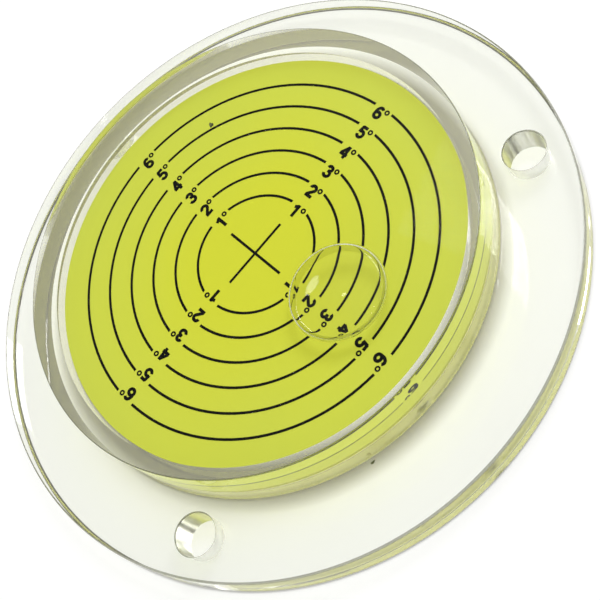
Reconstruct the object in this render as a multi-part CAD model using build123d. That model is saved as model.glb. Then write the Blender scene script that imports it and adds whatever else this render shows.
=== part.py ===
from build123d import *
import os
from math import atan2, cos, degrees, hypot, radians, sin, sqrt, tan

# Bullseye level: a clear moulded body with a mounting flange, a closed chamber of liquid under a
# domed window, and a printed dial that shows the tilt in whole degrees.
# Millimetres. The origin is the middle of the underside, +Z points up out of the window.
# -Y is the side of one arm of the cross. The three fixing holes lie at 90, 210 and 330 degrees.

# Body
drum_diameter = 90.0
drum_height = 12.0
flange_width = 15.0
flange_thickness = 6.0
drum_wall = 3.3
window_thickness = 3.0
drum_edge_chamfer = 0.25
flange_edge_chamfer = 0.4
drum_foot_chamfer = 0.5

# Fixing holes
hole_count = 3
hole_diameter = 8.0
hole_to_drum = 7.0
hole_edge_chamfer = 0.3
first_hole_angle = 90.0

# Dial and its print
degree_spacing = 4.8
line_width = 0.5
dial_margin = 2.0
print_thickness = 0.06
cross_arm = 7.2
arm_count = 4
label_gap_before = 1.3
label_gap_after = 3.2
dial_thickness = 0.8
dial_clearance = 0.3

# Liquid and its air bubble
liquid_depth = 6.6
film_gap = 0.05
bubble_tilt = 4.5
bubble_angle = -80.0
bubble_radius = 9.3
bubble_depth = 3.0
shoulder_share = 0.5
contact_angle = 45.0

# Base plate and filler plug
plate_recess = 0.4
plate_clearance = 0.05
filler_to_rim = 3.5
filler_angle = 0.0
filler_diameter = 3.6
plug_length = 4.0
plug_clearance = 0.05
groove_width = 2.0
groove_depth = 1.0

# Sizes that follow from the ones above
total_height = flange_thickness + drum_height
flange_radius = drum_diameter / 2 + flange_width
hole_circle_radius = drum_diameter / 2 + hole_to_drum
chamber_radius = drum_diameter / 2 - drum_wall
dome_radius = degree_spacing / tan(radians(1.0))
dome_apex = total_height - window_thickness
dome_centre = dome_apex - dome_radius
shoulder_radius = shoulder_share * bubble_depth
dial_top = dome_apex - liquid_depth
dial_bottom = dial_top - dial_thickness
dial_radius = chamber_radius - dial_clearance
first_ring_radius = cross_arm + degree_spacing
ring_count = 1 + int((dial_radius - dial_margin - first_ring_radius) / degree_spacing)
print_top = dial_top + print_thickness
plate_radius = chamber_radius - plate_clearance
plate_thickness = dial_bottom - plate_recess


def dome_height(radius):
    """Height of the window's spherical underside at a radius."""
    return dome_centre + sqrt(dome_radius ** 2 - radius ** 2)


def disc(radius, bottom, height):
    """A plain upright disc that starts at a height."""
    return Pos(0, 0, bottom) * Cylinder(radius, height, align=(Align.CENTER, Align.CENTER, Align.MIN))


def corner(section, radius, height):
    """The corner of a half section that lies at a radius and a height."""
    return section.vertices().sort_by(lambda vertex: hypot(vertex.X - radius, vertex.Y - height))[0]


def turned(section):
    """The solid that a half section sweeps about the upright axis."""
    return revolve(Plane.XZ * section, Axis.Z)


def chamber_space(radius, floor, gap=0.0):
    """The space between a floor and the domed window, as wide as a radius, with a gap at the dome."""
    dome = Pos(0, 0, dome_centre) * Rot(90, 0, 0) * Sphere(dome_radius - gap)
    return disc(radius, floor, total_height - floor) & dome


def body_section():
    """Half section of the clear body without its chamber: the flange and the drum."""
    drum_radius = drum_diameter / 2
    outline = Polyline(
        (0, 0),
        (flange_radius, 0),
        (flange_radius, flange_thickness),
        (drum_radius, flange_thickness),
        (drum_radius, total_height),
        (0, total_height),
        (0, 0),
    )
    section = make_face(outline)
    section = chamfer(corner(section, flange_radius, 0), flange_edge_chamfer)
    section = chamfer(corner(section, flange_radius, flange_thickness), flange_edge_chamfer)
    section = chamfer(corner(section, drum_radius, flange_thickness), drum_foot_chamfer)
    return chamfer(corner(section, drum_radius, total_height), drum_edge_chamfer)


def make_housing():
    """The clear body in one piece: flange, drum and domed window, with the fixing holes."""
    body = turned(body_section()) - chamber_space(chamber_radius, -flange_thickness)
    drill = Cylinder(hole_diameter / 2, 3 * flange_thickness)
    for place in PolarLocations(hole_circle_radius, hole_count, first_hole_angle):
        body -= place * drill
    rims = body.edges().filter_by(GeomType.CIRCLE)
    rims = rims.filter_by(lambda edge: abs(edge.radius - hole_diameter / 2) < hole_edge_chamfer / 10)
    return chamfer(rims.group_by(Axis.Z)[-1], hole_edge_chamfer)


def bubble_section():
    """Half section of the air bubble below the window: a round shoulder and a flatter bottom."""
    opening = 90 - contact_angle
    middle = bubble_radius - shoulder_radius
    neck_radius = middle + shoulder_radius * cos(radians(opening))
    neck_height = dome_height(neck_radius) - dome_apex
    level = neck_height - shoulder_radius * sin(radians(opening))
    rise = bubble_depth + level
    bottom_radius = (middle ** 2 + rise ** 2 - shoulder_radius ** 2) / (2 * (rise - shoulder_radius))
    bottom_centre = bottom_radius - bubble_depth
    spread = degrees(atan2(middle, bottom_centre - level))
    shoulder = CenterArc((middle, level), shoulder_radius, opening, spread - 90 - opening)
    bottom = CenterArc((0, bottom_centre), bottom_radius, spread - 90, -spread)
    above = window_thickness / 4
    side = Polyline((0, -bubble_depth), (0, above), (neck_radius, above), (neck_radius, neck_height))
    return make_face(shoulder + bottom + side)


def make_bubble():
    """The space of the air bubble, pressed against the domed window where the tilt holds it."""
    swing = Pos(0, 0, dome_centre) * Rot(0, bubble_tilt, 0) * Pos(0, 0, dome_radius)
    return Rot(0, 0, bubble_angle) * swing * turned(bubble_section())


def make_liquid():
    """The liquid that fills the chamber, with the bubble's space left open at its top."""
    space = chamber_space(chamber_radius - film_gap, print_top + film_gap, film_gap)
    return space - make_bubble()


def make_dial():
    """The coloured disc under the liquid."""
    return disc(dial_radius, dial_bottom, dial_thickness)


def make_ring(degree):
    """The printed circle of one degree, open beside each arm for its number."""
    radius = first_ring_radius + (degree - 1) * degree_spacing
    circle = disc(radius + line_width / 2, dial_top, print_thickness)
    circle -= disc(radius - line_width / 2, dial_top, print_thickness)
    gap_width = label_gap_before + label_gap_after
    gap = Box(2 * degree_spacing, gap_width, 1)
    shift = (label_gap_before - label_gap_after) / 2
    for arm in range(arm_count):
        circle -= Rot(0, 0, arm * 360 / arm_count) * Pos(radius, shift, print_top) * gap
    return circle


def make_cross():
    """The printed cross at the middle of the dial."""
    bar = Box(2 * cross_arm, line_width, print_thickness, align=(Align.CENTER, Align.CENTER, Align.MIN))
    return Pos(0, 0, dial_top) * (bar + Rot(0, 0, 90) * bar)


def filler_place():
    """The place of the filling hole in the base plate."""
    return Rot(0, 0, filler_angle) * Pos(plate_radius - filler_to_rim, 0, plate_recess)


def make_base_plate():
    """The clear closing plate behind the dial, with the filling hole and the groove to the rim."""
    upward = (Align.CENTER, Align.CENTER, Align.MIN)
    plate = disc(plate_radius, plate_recess, plate_thickness)
    plate -= filler_place() * Cylinder(filler_diameter / 2, plate_thickness, align=upward)
    groove = Box(2 * filler_to_rim, groove_width, groove_depth, align=(Align.MIN, Align.CENTER, Align.MAX))
    plate -= filler_place() * Pos(0, 0, plate_thickness) * groove
    return plate


def make_filler_plug():
    """The plug that closes the filling hole from the back."""
    radius = filler_diameter / 2 - plug_clearance
    return filler_place() * Cylinder(radius, plug_length, align=(Align.CENTER, Align.CENTER, Align.MIN))


def main():
    nodes = {
        "housing": make_housing(),
        "base_plate": make_base_plate(),
        "filler_plug": make_filler_plug(),
        "dial": make_dial(),
        "centre_cross": make_cross(),
        "liquid": make_liquid(),
    }
    for degree in range(1, ring_count + 1):
        nodes[f"degree_ring_{degree}"] = make_ring(degree)
    os.makedirs("parts", exist_ok=True)
    for name, solid in nodes.items():
        export_step(solid, f"parts/{name}.step")


main()
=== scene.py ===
from math import atan2, cos, degrees, pi, radians, sin, sqrt, tan

import bmesh
import bpy
from mathutils import Matrix, Vector


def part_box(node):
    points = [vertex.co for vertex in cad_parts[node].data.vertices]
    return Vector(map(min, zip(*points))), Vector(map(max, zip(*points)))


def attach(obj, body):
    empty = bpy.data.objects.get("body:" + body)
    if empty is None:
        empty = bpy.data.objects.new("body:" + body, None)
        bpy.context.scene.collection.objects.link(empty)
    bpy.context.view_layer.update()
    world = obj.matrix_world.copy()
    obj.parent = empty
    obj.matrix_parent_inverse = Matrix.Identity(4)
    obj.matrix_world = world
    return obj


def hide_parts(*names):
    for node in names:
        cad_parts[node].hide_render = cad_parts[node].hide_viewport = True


# The looks of a bullseye level: clear body, liquid with its air bubble, printed dial.
# Metres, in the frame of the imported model. Sizes written in millimetres are multiplied by mm.

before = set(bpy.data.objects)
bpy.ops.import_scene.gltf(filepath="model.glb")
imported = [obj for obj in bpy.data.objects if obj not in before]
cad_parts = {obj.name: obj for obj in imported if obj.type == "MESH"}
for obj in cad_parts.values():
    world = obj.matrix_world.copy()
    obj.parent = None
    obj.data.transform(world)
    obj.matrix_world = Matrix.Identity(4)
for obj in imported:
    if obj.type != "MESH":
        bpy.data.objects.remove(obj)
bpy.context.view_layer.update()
scene = bpy.context.scene
mm = 0.001

# Heights and radii that the frame gives
total_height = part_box("housing")[1].z
flange_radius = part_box("housing")[1].x
dial_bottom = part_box("dial")[0].z
dial_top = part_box("dial")[1].z
print_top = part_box("centre_cross")[1].z
plate_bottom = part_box("base_plate")[0].z
plate_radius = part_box("base_plate")[1].x
cross_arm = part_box("centre_cross")[1].x

# Body
drum_radius = 45 * mm
flange_thickness = 6 * mm
chamber_radius = 41.7 * mm
window_thickness = 3 * mm
drum_edge_round = 0.2 * mm
flange_edge_round = 0.4 * mm
drum_foot_round = 0.5 * mm

# Fixing holes
hole_radius = 4 * mm
hole_circle_radius = 52 * mm
hole_edge_round = 0.3 * mm
hole_angles = (90, 210, 330)
hole_tool_reach = 2 * mm

# Base plate: its filling hole and groove, and how far their tools reach past it
joint_gap = 0.01 * mm
filler_radius = 1.8 * mm
filler_to_rim = 3.5 * mm
groove_width = 2 * mm
groove_depth = 1 * mm
plate_tool_reach = 1 * mm

# Circles and dome
degree_spacing = 4.8 * mm
ring_count = 6
first_ring_radius = cross_arm + degree_spacing
dome_radius = degree_spacing / tan(radians(1))
dome_apex = total_height - window_thickness
dome_centre = dome_apex - dome_radius

# Numbers: a digit's width and stroke are shares of its height, and each further stroke of it
# is a step thicker
arm_count = 4
digit_height = 2.65 * mm
digit_width = 0.68
digit_stroke = 0.24
digit_lift = 0.2 * mm
digit_shift = 0.52 * mm
stroke_step = 0.01
sign_shift = 2.1 * mm
sign_drop = 0.5 * mm
sign_radius = 0.55 * mm
sign_line = 0.32 * mm

# Liquid and air bubble
liquid_film = 0.05 * mm
bubble_film = 0.1 * mm
bubble_tilt = radians(4.5)
bubble_angle = radians(-80)
bubble_radius = 9.3 * mm
bubble_depth = 3 * mm
shoulder_radius = 1.3 * mm
meniscus_width = 0.8 * mm

# Specks of dirt: name, distance and angle from the axis, height, length, width, turn
specks = (
    ("dial_speck", 32.25 * mm, radians(63.7), dial_top, 1.2 * mm, 0.9 * mm, radians(75)),
    ("flange_speck", 45.85 * mm, radians(-108.6), flange_thickness, 0.95 * mm, 0.45 * mm, radians(-5)),
)
speck_thickness = 0.05 * mm
speck_top_share = 0.85

# Waves of a speck's outline: size, number round it, start
speck_waves = ((0.16, 3, 1), (0.1, 5, 2))

# Clear materials: refraction, tints and shades
air_index = 1.0
acrylic_index = 1.49
liquid_index = 1.36
untinted = (1, 1, 1)
body_tint = (0.985, 0.99, 0.965)
# Painted shade: the rounded edges' dark tint darkens the view through them and the lamp light past them,
# drawing dark rim lines and a dark contact line on the floor
edge_painted_shade = (0.2, 0.2, 0.16)
bore_tint = (0.89, 0.86, 0.76)
drilled_tint = (0.9, 0.91, 0.8)
liquid_tint = (0.99, 0.995, 0.97)
# Painted shade: the meniscus tint darkens the ring round the bubble's rim into a dim olive outline
meniscus_painted_shade = (0.7, 0.7, 0.5)
lamp_under_drum = (0.35, 0.34, 0.25)
shade_start = 43.5 * mm
shade_end = 47 * mm

# Clear materials: unevenness of the tint, and the least and most roughness
cloud_scale = 28
cloud_range = (0.42, 0.68)
body_cloud = 0.965
haze_scale = 260
haze_detail = 4
haze_range = (0.45, 0.75)
polished = (0.0, 0.0)
handled = (0.0, 0.012)
drilled_rough = (0.3, 0.5)

# Dial: its colours, and what light passes through it
liquid_to_print = 1.1
dial_middle = (0.745, 0.765, 0.05)
dial_edge = (0.68, 0.745, 0.10)
dial_back = (0.64, 0.63, 0.5)
dial_glow = (0.84, 0.82, 0.68)
dial_roughness = 0.45
lamp_through_dial = (0.6, 0.6, 0.5)

# Dial: how its colour changes from the middle to the rim, over its face and up its rim
tone_start = 10 * mm
tone_end = 41 * mm
tone_most = 0.85
dial_cloud_scale = 35
dial_cloud_range = (0.3, 0.7)
dial_cloud_swing = (-0.12, 0.15)
back_height = 0.2 * mm
relief_scale = 900
relief_roughness = 0.6
relief_strength = 0.15
relief_depth = 0.02 * mm

# Ink, plug and dirt: two tones each, the grain's scale and the noise range between the tones
ink_tones = ((0.003, 0.003, 0.003), (0.008, 0.008, 0.006))
ink_scale = 2500
ink_range = (0.35, 0.7)
ink_roughness = 0.5
plug_tones = ((0.70, 0.71, 0.68), (0.78, 0.79, 0.75))
plug_scale = 700
plug_range = (0.0, 1.0)
plug_roughness = 0.3
grime_tones = ((0.05, 0.06, 0.012), (0.16, 0.17, 0.08))
grime_scale = 3000
grime_range = (0.35, 0.65)
grime_roughness = 0.7
grime_index = 1.3

# Light and floor
sky_light = 0.55
key_place = (0.7, 0.2, 1.08)
key_size = 0.5
key_power = 9.0
floor_size = 0.13
floor_drop = 0.05 * mm
floor_white = (0.96, 0.96, 0.96)
floor_glow = 0.13

# The room that clear plastic sees: a bright side and a small bright spot
room_bright_side = (0.9, 0.25, 0.9)
room_low = 0.75
room_high = 0.95
room_dark = 0.12
room_light = 0.7
glint_toward = (0.1006, 0.3016, 0.948)
glint_inner = radians(0.12)
glint_outer = radians(0.37)
glint_light = 110

# Camera, fitted to the photograph, with its focal length in pixels
camera_azimuth = radians(-93.4)
camera_elevation = radians(55.766)
camera_roll = radians(-46.518)
camera_distance = 234.076 * mm
camera_aim = (-1.177 * mm, -10.413 * mm, flange_thickness)
focal_pixels = 1266.999
image_pixels = 600
sensor_width = 36
clip_start = 0.01
clip_end = 20

# Bounces of light
most_bounces = 32
glossy_bounces = 24

# Mesh fineness
round_steps = 384
edge_steps = 6
dome_steps = 24
hole_steps = 96
hole_edge_steps = 4
filler_steps = 48
bubble_steps = 192
cap_steps = 12
shoulder_steps = 24
bottom_steps = 16
oval_steps = 28
sign_steps = 48
speck_steps = 24
same_point = 0.001 * mm
on_axis = 1e-9
sharp_angle = radians(30)
face_weight = 100

# Steepness of a face, as the height of its normal, near a fixing hole
nearly_flat = 0.97
nearly_upright = 0.05

# Material slots of the body, of the plate and of the liquid
outer, to_liquid, glued, drilled_wall, under, rounded, bore_wall = range(7)
plate_under, plate_glued = range(2)
liquid_side, bubble_side, meniscus_side = range(3)

# Sockets of the colour mix node
mix_factor = 0
mix_colours = (6, 7)
mix_result = 2

# Kinds of rays
camera_rays = ("Is Camera Ray",)
seen_rays = ("Is Camera Ray", "Is Glossy Ray", "Is Transmission Ray")
shadow_rays = ("Is Shadow Ray",)
lamp_rays = ("Is Shadow Ray", "Is Diffuse Ray")


# Shapes
def dome_height(radius, drop=0.0):
    """Height of the window's spherical underside at a radius, lowered by a drop."""
    return dome_centre + sqrt((dome_radius - drop) ** 2 - radius ** 2)


def dome_points(rim, drop=0.0):
    """Half section of the window's underside from a rim to the axis."""
    radii = [rim * (1 - k / dome_steps) for k in range(dome_steps + 1)]
    return [(radius, dome_height(radius, drop)) for radius in radii]


def oval(cx, cy, rx, ry, start, end, steps=oval_steps):
    """Points along an oval from one angle in degrees to another."""
    angles = [radians(start + (end - start) * k / steps) for k in range(steps + 1)]
    return [(cx + rx * cos(a), cy + ry * sin(a)) for a in angles]


def arc(centre, radius, start, end, steps):
    """Points of an arc in a half section, from one angle in degrees to another."""
    return oval(*centre, radius, radius, start, end, steps)


def new_object(name, mesh):
    """A shown object that carries a mesh."""
    piece = bpy.data.objects.new(name, mesh)
    scene.collection.objects.link(piece)
    return piece


def take_mesh(bm, name):
    """The mesh of a bmesh, which is freed."""
    mesh = bpy.data.meshes.new(name)
    bm.to_mesh(mesh)
    bm.free()
    return mesh


def join_rings(bm, one, two, slot=0):
    """Faces between two rings of corners, one of which may be a single corner."""
    steps = max(len(one), len(two))
    for k in range(steps):
        n = (k + 1) % steps
        corners = [one[k % len(one)], one[n % len(one)], two[n % len(two)], two[k % len(two)]]
        face = bm.faces.new(list(dict.fromkeys(corners)))
        face.material_index = slot


def lathe(name, profile, steps, slots=None, closed=False):
    """A turned mesh from (radius, height) points; slots gives the material slot of each stretch."""
    bm = bmesh.new()
    angles = [2 * pi * k / steps for k in range(steps)]
    rings = []
    for radius, height in profile:
        if radius < on_axis:
            rings.append([bm.verts.new((0, 0, height))])
        else:
            rings.append([bm.verts.new((radius * cos(a), radius * sin(a), height)) for a in angles])
    following = rings[1:] + rings[:1] if closed else rings[1:]
    for index, (one, two) in enumerate(zip(rings, following)):
        join_rings(bm, one, two, slots[index] if slots else 0)
    bmesh.ops.recalc_face_normals(bm, faces=bm.faces)
    return new_object(name, take_mesh(bm, name))


def take_modifiers(piece):
    """Gives a piece the mesh that its modifiers make."""
    graph = bpy.context.evaluated_depsgraph_get()
    mesh = bpy.data.meshes.new_from_object(piece.evaluated_get(graph))
    piece.modifiers.clear()
    piece.data = mesh


def boolean(piece, tool, operation):
    """Joins a tool's shape to a piece or takes it away, and deletes the tool."""
    modifier = piece.modifiers.new("shape", "BOOLEAN")
    modifier.operation = operation
    modifier.solver = "EXACT"
    modifier.object = tool
    take_modifiers(piece)
    bpy.data.objects.remove(tool)


def cut(piece, tool):
    """Takes a tool's shape away from a piece and welds corners that fall together."""
    boolean(piece, tool, "DIFFERENCE")
    bm = bmesh.new()
    bm.from_mesh(piece.data)
    bmesh.ops.remove_doubles(bm, verts=bm.verts, dist=same_point)
    bmesh.ops.dissolve_degenerate(bm, edges=bm.edges, dist=same_point)
    bm.to_mesh(piece.data)
    bm.free()


def half_step(steps):
    """Turns a round tool by half a step, so that its corners miss the edges of what it cuts."""
    return Matrix.Rotation(pi / steps, 4, "Z")


def smooth(piece):
    """Smooth shading with crisp edges above the sharp angle."""
    piece.data.shade_smooth()
    piece.data.set_sharp_from_angle(angle=sharp_angle)


def flatten(piece):
    """Keeps large faces flat in shade where small rounded edges join them."""
    modifier = piece.modifiers.new("flat_faces", "WEIGHTED_NORMAL")
    modifier.weight = face_weight
    modifier.keep_sharp = True
    take_modifiers(piece)


def add_piece(piece, slot, materials, *nodes):
    """Puts a piece on the body with its materials and what it stands for; the slot is not used."""
    for material in materials:
        piece.data.materials.append(material)
    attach(piece, "root")
    if nodes:
        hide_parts(*nodes)


# Shader nodes
def new_material(name):
    """An empty node material and its node tree."""
    material = bpy.data.materials.new(name)
    material.use_nodes = True
    material.node_tree.nodes.clear()
    return material, material.node_tree


def node(tree, kind, **values):
    """Adds a shader node and sets its input sockets, or else its settings, by name."""
    made = tree.nodes.new(kind)
    for key, value in values.items():
        if key in made.inputs:
            made.inputs[key].default_value = value
        else:
            setattr(made, key, value)
    return made


def give(tree, value, socket):
    """Links an output to a socket, or sets the socket to a number or a colour."""
    if isinstance(value, bpy.types.NodeSocket):
        tree.links.new(value, socket)
    elif isinstance(value, tuple):
        socket.default_value = (*value, 1)
    else:
        socket.default_value = value


def output(tree, shader, kind="ShaderNodeOutputMaterial"):
    """Makes a shader the surface of the material or world."""
    tree.links.new(shader, tree.nodes.new(kind).inputs["Surface"])


def arithmetic(tree, operation, first, second):
    """The result of an operation on two values."""
    made = node(tree, "ShaderNodeMath", operation=operation)
    give(tree, first, made.inputs[0])
    give(tree, second, made.inputs[1])
    return made.outputs[0]


def ramp(tree, source, low, high, first=0.0, last=1.0):
    """Maps a value from one range to another."""
    made = tree.nodes.new("ShaderNodeMapRange")
    for key, value in zip(("From Min", "From Max", "To Min", "To Max"), (low, high, first, last)):
        made.inputs[key].default_value = value
    tree.links.new(source, made.inputs["Value"])
    return made.outputs["Result"]


def blend(tree, factor, *colours):
    """A colour between two others."""
    made = node(tree, "ShaderNodeMix", data_type="RGBA")
    tree.links.new(factor, made.inputs[mix_factor])
    for socket, colour in zip(mix_colours, colours):
        give(tree, colour, made.inputs[socket])
    return made.outputs[mix_result]


def mixed(tree, factor, first, second):
    """The first shader where the factor is zero, the second where it is one."""
    made = tree.nodes.new("ShaderNodeMixShader")
    for source, socket in zip((factor, first, second), made.inputs):
        tree.links.new(source, socket)
    return made.outputs[0]


def added(tree, first, second):
    """Both shaders at once."""
    made = tree.nodes.new("ShaderNodeAddShader")
    for source, socket in zip((first, second), made.inputs):
        tree.links.new(source, socket)
    return made.outputs[0]


def own_place(tree):
    """Coordinates of the object itself."""
    return tree.nodes.new("ShaderNodeTexCoord").outputs["Object"]


def noise(tree, scale, detail=3, roughness=0.5):
    """Solid noise in the object's own coordinates, whose scale is per metre."""
    made = node(tree, "ShaderNodeTexNoise", Scale=scale, Detail=detail, Roughness=roughness)
    tree.links.new(own_place(tree), made.inputs["Vector"])
    return made.outputs["Fac"]


def axis_distance(tree):
    """Distance from the upright axis in the object's own coordinates."""
    flat = node(tree, "ShaderNodeVectorMath", operation="MULTIPLY")
    flat.inputs[1].default_value = (1, 1, 0)
    tree.links.new(own_place(tree), flat.inputs[0])
    length = node(tree, "ShaderNodeVectorMath", operation="LENGTH")
    tree.links.new(flat.outputs["Vector"], length.inputs[0])
    return length.outputs["Value"]


def own_height(tree):
    """Height in the object's own coordinates."""
    parts = tree.nodes.new("ShaderNodeSeparateXYZ")
    tree.links.new(own_place(tree), parts.inputs[0])
    return parts.outputs["Z"]


def ray_is(tree, kinds):
    """One for a ray of any of the kinds, otherwise zero."""
    path = tree.nodes.new("ShaderNodeLightPath")
    found = path.outputs[kinds[0]]
    for kind in kinds[1:]:
        found = arithmetic(tree, "MAXIMUM", found, path.outputs[kind])
    return found


def see_through(tree, colour):
    """A shader that lets light straight through, tinted."""
    made = tree.nodes.new("ShaderNodeBsdfTransparent")
    give(tree, colour, made.inputs["Color"])
    return made.outputs[0]


# Materials
def clear_material(name, index, tint, roughness=polished, cloudy=1.0, shade=None):
    """Clear glass-like material that lets the lamps reach what lies behind it, less a shade."""
    material, tree = new_material(name)
    glass = node(tree, "ShaderNodeBsdfPrincipled", **{"Transmission Weight": 1.0, "IOR": index})
    cloud = ramp(tree, noise(tree, cloud_scale), *cloud_range)
    duller = tuple(part * cloudy for part in tint)
    tree.links.new(blend(tree, cloud, tint, duller), glass.inputs["Base Color"])
    haze = ramp(tree, noise(tree, haze_scale, haze_detail), *haze_range, *roughness)
    tree.links.new(haze, glass.inputs["Roughness"])
    lamp_tint = tint
    if shade:
        lamp_tint = blend(tree, ramp(tree, axis_distance(tree), shade_start, shade_end), shade, tint)
    output(tree, mixed(tree, ray_is(tree, lamp_rays), glass.outputs[0], see_through(tree, lamp_tint)))
    return material


def dial_colour(tree, up):
    """The dial's colour: greener towards the rim and uneven on top, paler below."""
    tone = ramp(tree, axis_distance(tree), tone_start, tone_end, 0.0, tone_most)
    cloud = ramp(tree, noise(tree, dial_cloud_scale), *dial_cloud_range, *dial_cloud_swing)
    front = blend(tree, arithmetic(tree, "ADD", tone, cloud), dial_middle, dial_edge)
    return blend(tree, up, dial_back, front)


def dial_material():
    """Yellow-green plastic sheet, a little uneven in tone, with a paler back that glows through."""
    material, tree = new_material("dial_sheet")
    up = ramp(tree, own_height(tree), dial_bottom, dial_bottom + back_height)
    face = node(tree, "ShaderNodeBsdfPrincipled", Roughness=dial_roughness, IOR=liquid_to_print)
    tree.links.new(dial_colour(tree, up), face.inputs["Base Color"])
    relief = node(tree, "ShaderNodeBump", Strength=relief_strength, Distance=relief_depth)
    tree.links.new(noise(tree, relief_scale, roughness=relief_roughness), relief.inputs["Height"])
    tree.links.new(relief.outputs["Normal"], face.inputs["Normal"])
    glow = tree.nodes.new("ShaderNodeBsdfTranslucent")
    tree.links.new(blend(tree, up, dial_glow, (0, 0, 0)), glow.inputs["Color"])
    both = added(tree, face.outputs[0], glow.outputs[0])
    output(tree, mixed(tree, ray_is(tree, shadow_rays), both, see_through(tree, lamp_through_dial)))
    return material


def toned_material(name, tones, scale, limits, **values):
    """Solid material whose colour wanders between two tones."""
    material, tree = new_material(name)
    surface = node(tree, "ShaderNodeBsdfPrincipled", **values)
    colour = blend(tree, ramp(tree, noise(tree, scale), *limits), *tones)
    tree.links.new(colour, surface.inputs["Base Color"])
    output(tree, surface.outputs[0])
    return material


into_liquid = acrylic_index / liquid_index
acrylic = clear_material("acrylic", acrylic_index, body_tint, handled, body_cloud)
# Rounded edges, whose dark tint is painted shade
edge = clear_material("edge_painted_dark", acrylic_index, edge_painted_shade, handled)
bore = clear_material("bore", into_liquid, bore_tint)
acrylic_to_liquid = clear_material("acrylic_to_liquid", into_liquid, untinted)
acrylic_joint = clear_material("acrylic_joint", air_index, untinted)
underside = clear_material("underside", acrylic_index, body_tint, handled, shade=lamp_under_drum)
drilled = clear_material("drilled_acrylic", acrylic_index, drilled_tint, drilled_rough)
liquid_skin = clear_material("liquid_skin", air_index, liquid_tint)
bubble_skin = clear_material("bubble_skin", liquid_index, untinted)
# The bubble's rim, darkened by painted shade
meniscus = clear_material("meniscus", liquid_index, meniscus_painted_shade)
sheet = dial_material()
ink = toned_material("ink", ink_tones, ink_scale, ink_range, Roughness=ink_roughness, IOR=liquid_to_print)
plug = toned_material("plug_plastic", plug_tones, plug_scale, plug_range, Roughness=plug_roughness)
grime_surface = {"Roughness": grime_roughness, "IOR": grime_index}
grime = toned_material("grime", grime_tones, grime_scale, grime_range, **grime_surface)


# Clear body
def body_profile():
    """Half section of the body from the window's top round to its dome, and each stretch's slot."""
    edge_middle = (drum_radius - drum_edge_round, total_height - drum_edge_round)
    foot_middle = (drum_radius + drum_foot_round, flange_thickness + drum_foot_round)
    rim = flange_radius - flange_edge_round
    upper_middle = (rim, flange_thickness - flange_edge_round)
    lower_middle = (rim, flange_edge_round)
    runs = (
        ([(0, total_height), (drum_radius / 2, total_height)], outer, outer),
        (arc(edge_middle, drum_edge_round, 90, 0, edge_steps), outer, rounded),
        (arc(foot_middle, drum_foot_round, 180, 270, edge_steps), outer, outer),
        (arc(upper_middle, flange_edge_round, 90, 0, edge_steps), outer, rounded),
        (arc(lower_middle, flange_edge_round, 0, -90, edge_steps), outer, rounded),
        ([(chamber_radius, 0), (chamber_radius, plate_bottom)], under, under),
        ([(chamber_radius, dial_bottom)], glued, glued),
        (dome_points(chamber_radius), bore_wall, to_liquid),
    )
    points = []
    slots = []
    for run, before, within in runs:
        if points:
            slots.append(before)
        slots += [within] * (len(run) - 1)
        points += run
    return points, slots


def hole_tool():
    """What a fixing hole takes away, with its rounded upper edge."""
    wide = hole_radius + hole_edge_round
    above = flange_thickness + hole_tool_reach
    points = [(0, -hole_tool_reach), (hole_radius, -hole_tool_reach)]
    points += arc((wide, flange_thickness - hole_edge_round), hole_edge_round, 180, 90, hole_edge_steps)
    points += [(wide, above), (0, above)]
    return lathe("hole_tool", points, hole_steps)


def mark_hole(body, centre):
    """Gives the drilled wall about a hole's centre and its rounded edge their own slots."""
    for face in body.data.polygons:
        away = (face.center - centre).to_2d().length
        steep = abs(face.normal.z)
        if away < hole_radius + hole_edge_round and steep < nearly_flat:
            face.material_index = drilled_wall if steep < nearly_upright else rounded


def make_body():
    """The clear body: flange, drum and domed window in one piece."""
    points, slots = body_profile()
    body = lathe("clear_body", points, round_steps, slots)
    for angle in hole_angles:
        place = Matrix.Rotation(radians(angle), 4, "Z") @ Matrix.Translation((hole_circle_radius, 0, 0))
        tool = hole_tool()
        tool.data.transform(place @ half_step(hole_steps))
        cut(body, tool)
        mark_hole(body, place.translation)
    smooth(body)
    flatten(body)
    materials = [acrylic, acrylic_to_liquid, acrylic_joint, drilled, underside, edge, bore]
    add_piece(body, "clear_body", materials, "housing")


# Base plate
def filler_tool(place, top):
    """What the filling hole takes away at a place on the X axis."""
    points = [(0, -plate_tool_reach), (filler_radius, -plate_tool_reach), (filler_radius, top), (0, top)]
    tool = lathe("filler_tool", points, filler_steps)
    tool.data.transform(Matrix.Translation((place, 0, 0)) @ half_step(filler_steps))
    return tool


def box_tool(low, high):
    """A plain box between two corners."""
    bm = bmesh.new()
    bmesh.ops.create_cube(bm, size=1)
    middle = (Vector(low) + Vector(high)) / 2
    size = Vector(high) - Vector(low)
    place = Matrix.Translation(middle) @ Matrix.Diagonal((*size, 1))
    bmesh.ops.transform(bm, matrix=place, verts=bm.verts)
    return new_object("box_tool", take_mesh(bm, "box_tool"))


def make_plate():
    """The clear plate behind the dial, with the filling hole and the groove from it to the rim."""
    top = dial_bottom - joint_gap
    rim = chamber_radius - joint_gap
    points = [(0, plate_bottom), (rim, plate_bottom), (rim, top), (0, top)]
    plate = lathe("clear_plate", points, round_steps, [plate_under, plate_glued, plate_glued])
    filler = plate_radius - filler_to_rim
    above = top + plate_tool_reach
    cut(plate, filler_tool(filler, above))
    low = (filler, -groove_width / 2, top - groove_depth)
    high = (plate_radius + plate_tool_reach, groove_width / 2, above)
    cut(plate, box_tool(low, high))
    smooth(plate)
    add_piece(plate, "clear_plate", [underside, acrylic_joint], "base_plate")


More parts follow.
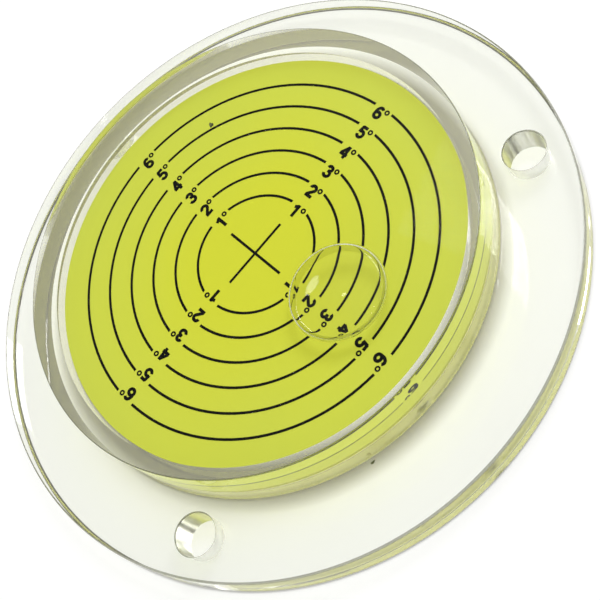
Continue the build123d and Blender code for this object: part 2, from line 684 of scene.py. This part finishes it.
# Liquid and bubble
def bubble_profile():
    """Half section of the air bubble under the window, measured from the window at its middle."""
    middle = bubble_radius - shoulder_radius
    level = dome_height(middle) - dome_apex - bubble_film - shoulder_radius
    rise = bubble_depth + level
    bottom_radius = (middle ** 2 + rise ** 2 - shoulder_radius ** 2) / (2 * (rise - shoulder_radius))
    bottom_centre = bottom_radius - bubble_depth
    spread = atan2(middle, bottom_centre - level)
    cap = [middle * k / cap_steps for k in range(cap_steps)]
    points = [(radius, dome_height(radius) - dome_apex - bubble_film) for radius in cap]
    points += arc((middle, level), shoulder_radius, 90, degrees(spread) - 90, shoulder_steps)
    for k in range(1, bottom_steps):
        angle = spread * (1 - k / bottom_steps)
        points.append((bottom_radius * sin(angle), bottom_centre - bottom_radius * cos(angle)))
    points.append((0, -bubble_depth))
    return points


def make_bubble():
    """The bubble's skin under the window, where the tilt holds it, facing inward."""
    profile = bubble_profile()
    beside = [abs(radius - bubble_radius) > meniscus_width for radius, height in profile[:-1]]
    slots = [bubble_side if inner else meniscus_side for inner in beside]
    bubble = lathe("bubble", profile, bubble_steps, slots)
    swing = Matrix.Rotation(bubble_angle, 4, "Z") @ Matrix.Translation((0, 0, dome_centre))
    swing = swing @ Matrix.Rotation(bubble_tilt, 4, "Y") @ Matrix.Translation((0, 0, dome_radius))
    bubble.data.transform(swing)
    bubble.data.flip_normals()
    smooth(bubble)
    return bubble


def make_liquid():
    """The liquid that fills the chamber, with the bubble as a closed space inside it."""
    radius = chamber_radius - liquid_film
    floor = print_top + liquid_film
    points = [(0, floor), (radius, floor)] + dome_points(radius, liquid_film)
    slots = [liquid_side] * (len(points) - 1)
    liquid = lathe("liquid_fill", points, round_steps, slots)
    smooth(liquid)
    bubble = make_bubble()
    bm = bmesh.new()
    bm.from_mesh(liquid.data)
    bm.from_mesh(bubble.data)
    bm.to_mesh(liquid.data)
    bm.free()
    bpy.data.objects.remove(bubble)
    add_piece(liquid, "liquid", [liquid_skin, bubble_skin, meniscus], "liquid")


# Numbers
def ribbon(path):
    """A flat stroke one unit thick along a path, as a closed mesh."""
    bm = bmesh.new()
    last = len(path) - 1
    rows = []
    for k, place in enumerate(path):
        along = (Vector(path[min(k + 1, last)]) - Vector(path[max(k - 1, 0)])).normalized()
        side = Vector((-along.y, along.x)) * digit_stroke / 2
        corners = ((side, 0), (-side, 0), (-side, 1), (side, 1))
        rows.append([bm.verts.new((*(Vector(place) + shift), up)) for shift, up in corners])
    for one, two in zip(rows, rows[1:]):
        join_rings(bm, one, two)
    bm.faces.new(rows[0])
    bm.faces.new(rows[-1])
    bmesh.ops.recalc_face_normals(bm, faces=bm.faces)
    return new_object("stroke", take_mesh(bm, "stroke"))


# Strokes of each digit, drawn one unit high
digit_strokes = {
    1: [[(0.41, 0.0), (0.41, 1.0)], [(0.10, 0.74), (0.28, 0.80), (0.38, 0.90)]],
    2: [oval(0.34, 0.69, 0.245, 0.218, 180, -28) + [(0.13, 0.14)], [(0.03, 0.085), (0.66, 0.085)]],
    3: [
        oval(0.33, 0.725, 0.215, 0.183, 172, -88),
        oval(0.33, 0.305, 0.25, 0.222, 88, -172),
        [(0.24, 0.533), (0.36, 0.533)],
    ],
    4: [[(0.48, 0.0), (0.48, 1.0)], [(0.0, 0.30), (0.68, 0.30)], [(0.07, 0.30), (0.46, 0.95)]],
    5: [
        [(0.14, 0.915), (0.61, 0.915)],
        [(0.20, 0.95), (0.13, 0.45)],
        oval(0.325, 0.335, 0.25, 0.25, 140, -165),
    ],
    6: [oval(0.345, 0.315, 0.25, 0.227, 0, 360), oval(0.375, 0.50, 0.28, 0.412, 48, 200)],
}


def make_digit(number):
    """The mesh of one number as it is printed, standing on the X axis with its middle at zero."""
    strokes = [ribbon(path) for path in digit_strokes[number]]
    digit = strokes[0]
    for index, stroke in enumerate(strokes[1:], 1):
        past = stroke_step * index
        stroke.data.transform(Matrix.Translation((0, 0, -past)))
        stroke.data.transform(Matrix.Diagonal((1, 1, 1 + 2 * past, 1)))
        boolean(digit, stroke, "UNION")
    digit.data.transform(Matrix.Translation((-digit_width / 2, 0, 0)))
    digit.data.transform(Matrix.Diagonal((digit_height, digit_height, print_top - dial_top, 1)))
    mesh = digit.data
    bpy.data.objects.remove(digit)
    return mesh


def make_sign():
    """The mesh of the small ring of the degree sign."""
    inner = sign_radius - sign_line
    thickness = print_top - dial_top
    profile = [(inner, 0), (sign_radius, 0), (sign_radius, thickness), (inner, thickness)]
    sign = lathe("sign", profile, sign_steps, closed=True)
    mesh = sign.data
    bpy.data.objects.remove(sign)
    return mesh


def add_mesh(bm, mesh, place):
    """Adds a mesh to a bmesh at a place."""
    before = set(bm.verts)
    bm.from_mesh(mesh)
    fresh = [vertex for vertex in bm.verts if vertex not in before]
    bmesh.ops.transform(bm, matrix=place, verts=fresh)


def make_number(name, digit, sign, radius, turn):
    """One number with its degree sign beside an arm, its top outward."""
    bm = bmesh.new()
    add_mesh(bm, digit, Matrix.Translation((digit_shift, -digit_height, 0)))
    add_mesh(bm, sign, Matrix.Translation((sign_shift, -sign_drop, 0)))
    place = Matrix.Rotation(turn, 4, "Z") @ Matrix.Translation((0, radius + digit_lift, dial_top))
    bmesh.ops.transform(bm, matrix=place, verts=bm.verts)
    add_piece(new_object(name, take_mesh(bm, "number")), "print", [ink])


def make_numbers():
    """The numbers of all circles at the four arms."""
    sign = make_sign()
    for degree in range(1, ring_count + 1):
        digit = make_digit(degree)
        radius = first_ring_radius + (degree - 1) * degree_spacing
        for arm in range(arm_count):
            turn = radians(360 / arm_count * arm - 90)
            make_number(f"number_{degree}_{arm + 1}", digit, sign, radius, turn)


# Dirt
def speck_outline(long, wide):
    """An uneven oval, as corners in the plane."""
    outline = []
    for k in range(speck_steps):
        angle = 2 * pi * k / speck_steps
        reach = (1 + sum(size * sin(count * angle + start) for size, count, start in speck_waves)) / 2
        outline.append((long * reach * cos(angle), wide * reach * sin(angle)))
    return outline


def make_specks():
    """Small uneven flakes of dirt where the real level has them."""
    for name, distance, angle, height, long, wide, turn in specks:
        outline = speck_outline(long, wide)
        bm = bmesh.new()
        bottom = [bm.verts.new((x, y, 0)) for x, y in outline]
        share = speck_top_share
        top = [bm.verts.new((share * x, share * y, speck_thickness)) for x, y in outline]
        bm.faces.new(bottom)
        bm.faces.new(top)
        join_rings(bm, bottom, top)
        bmesh.ops.recalc_face_normals(bm, faces=bm.faces)
        place = Matrix.Translation((distance * cos(angle), distance * sin(angle), height))
        bmesh.ops.transform(bm, matrix=place @ Matrix.Rotation(turn, 4, "Z"), verts=bm.verts)
        add_piece(new_object(name, take_mesh(bm, name)), "print", [grime])


# Stage, light and camera
def floor_material():
    """White paper with a faint glow for the rays that see it."""
    material, tree = new_material("floor_paper")
    paper = tree.nodes.new("ShaderNodeBsdfDiffuse")
    give(tree, floor_white, paper.inputs["Color"])
    glow = tree.nodes.new("ShaderNodeEmission")
    strength = arithmetic(tree, "MULTIPLY", ray_is(tree, seen_rays), floor_glow)
    tree.links.new(strength, glow.inputs["Strength"])
    output(tree, added(tree, paper.outputs[0], glow.outputs[0]))
    return material


def make_stage():
    """A plain pale floor that looks white and keeps the shadow."""
    bm = bmesh.new()
    bmesh.ops.create_grid(bm, x_segments=1, y_segments=1, size=floor_size)
    floor = new_object("floor", take_mesh(bm, "floor"))
    floor.location.z = -floor_drop
    floor.data.materials.append(floor_material())


def background(tree, strength):
    """Plain white surroundings of a given strength."""
    made = tree.nodes.new("ShaderNodeBackground")
    give(tree, untinted, made.inputs["Color"])
    give(tree, strength, made.inputs["Strength"])
    return made.outputs[0]


def facing(tree, direction):
    """One for a ray straight toward a direction, less to its sides."""
    place = tree.nodes.new("ShaderNodeTexCoord")
    made = node(tree, "ShaderNodeVectorMath", operation="DOT_PRODUCT")
    made.inputs[1].default_value = Vector(direction).normalized()
    tree.links.new(place.outputs["Generated"], made.inputs[0])
    return made.outputs["Value"]


def make_world():
    """Soft light from all round; the camera sees white, clear plastic a room with a bright side."""
    world = bpy.data.worlds.new("studio")
    scene.world = world
    world.use_nodes = True
    tree = world.node_tree
    tree.nodes.clear()
    side = ramp(tree, facing(tree, room_bright_side), room_low, room_high, room_dark, room_light)
    spot = facing(tree, glint_toward)
    glint = ramp(tree, spot, cos(glint_outer), cos(glint_inner), 0.0, glint_light)
    room = background(tree, arithmetic(tree, "ADD", side, glint))
    unseen = mixed(tree, ray_is(tree, seen_rays), background(tree, sky_light), room)
    whole = mixed(tree, ray_is(tree, camera_rays), unseen, background(tree, 1.0))
    output(tree, whole, "ShaderNodeOutputWorld")


def make_lamp(name, place, aim, size, power):
    """A soft square lamp that points at a spot."""
    data = bpy.data.lights.new(name, "AREA")
    data.shape = "SQUARE"
    data.size = size
    data.energy = power
    lamp = bpy.data.objects.new(name, data)
    scene.collection.objects.link(lamp)
    lamp.location = place
    lamp.rotation_mode = "QUATERNION"
    lamp.rotation_quaternion = (Vector(aim) - Vector(place)).to_track_quat("-Z", "Y")


def make_camera():
    """The camera at the photograph's viewing angle, turned about its own line of sight."""
    outward = Vector((cos(camera_azimuth), sin(camera_azimuth), 0))
    ahead = Vector((0, 0, -sin(camera_elevation))) - outward * cos(camera_elevation)
    level = Vector((-sin(camera_azimuth), cos(camera_azimuth), 0))
    upward = level.cross(ahead)
    right = level * cos(camera_roll) + upward * sin(camera_roll)
    top = upward * cos(camera_roll) - level * sin(camera_roll)
    data = bpy.data.cameras.new("camera")
    data.sensor_width = sensor_width
    data.lens = focal_pixels / image_pixels * sensor_width
    data.clip_start = clip_start
    data.clip_end = clip_end
    camera = bpy.data.objects.new("camera", data)
    scene.collection.objects.link(camera)
    turn = Matrix((right, top, -ahead)).transposed().to_4x4()
    camera.matrix_world = Matrix.Translation(Vector(camera_aim) - ahead * camera_distance) @ turn
    scene.camera = camera


def paint(name, material):
    """Gives a piece of the frame one material."""
    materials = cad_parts[name].data.materials
    materials.clear()
    materials.append(material)


make_camera()
make_stage()
make_world()
make_lamp("key", key_place, (0, 0, 0), key_size, key_power)
scene.view_settings.view_transform = "Standard"
scene.cycles.max_bounces = most_bounces
scene.cycles.glossy_bounces = glossy_bounces
scene.cycles.transmission_bounces = most_bounces
scene.cycles.transparent_max_bounces = most_bounces

make_body()
make_plate()
make_liquid()
make_numbers()
make_specks()
paint("dial", sheet)
paint("filler_plug", plug)
paint("centre_cross", ink)
for degree in range(1, ring_count + 1):
    paint(f"degree_ring_{degree}", ink)
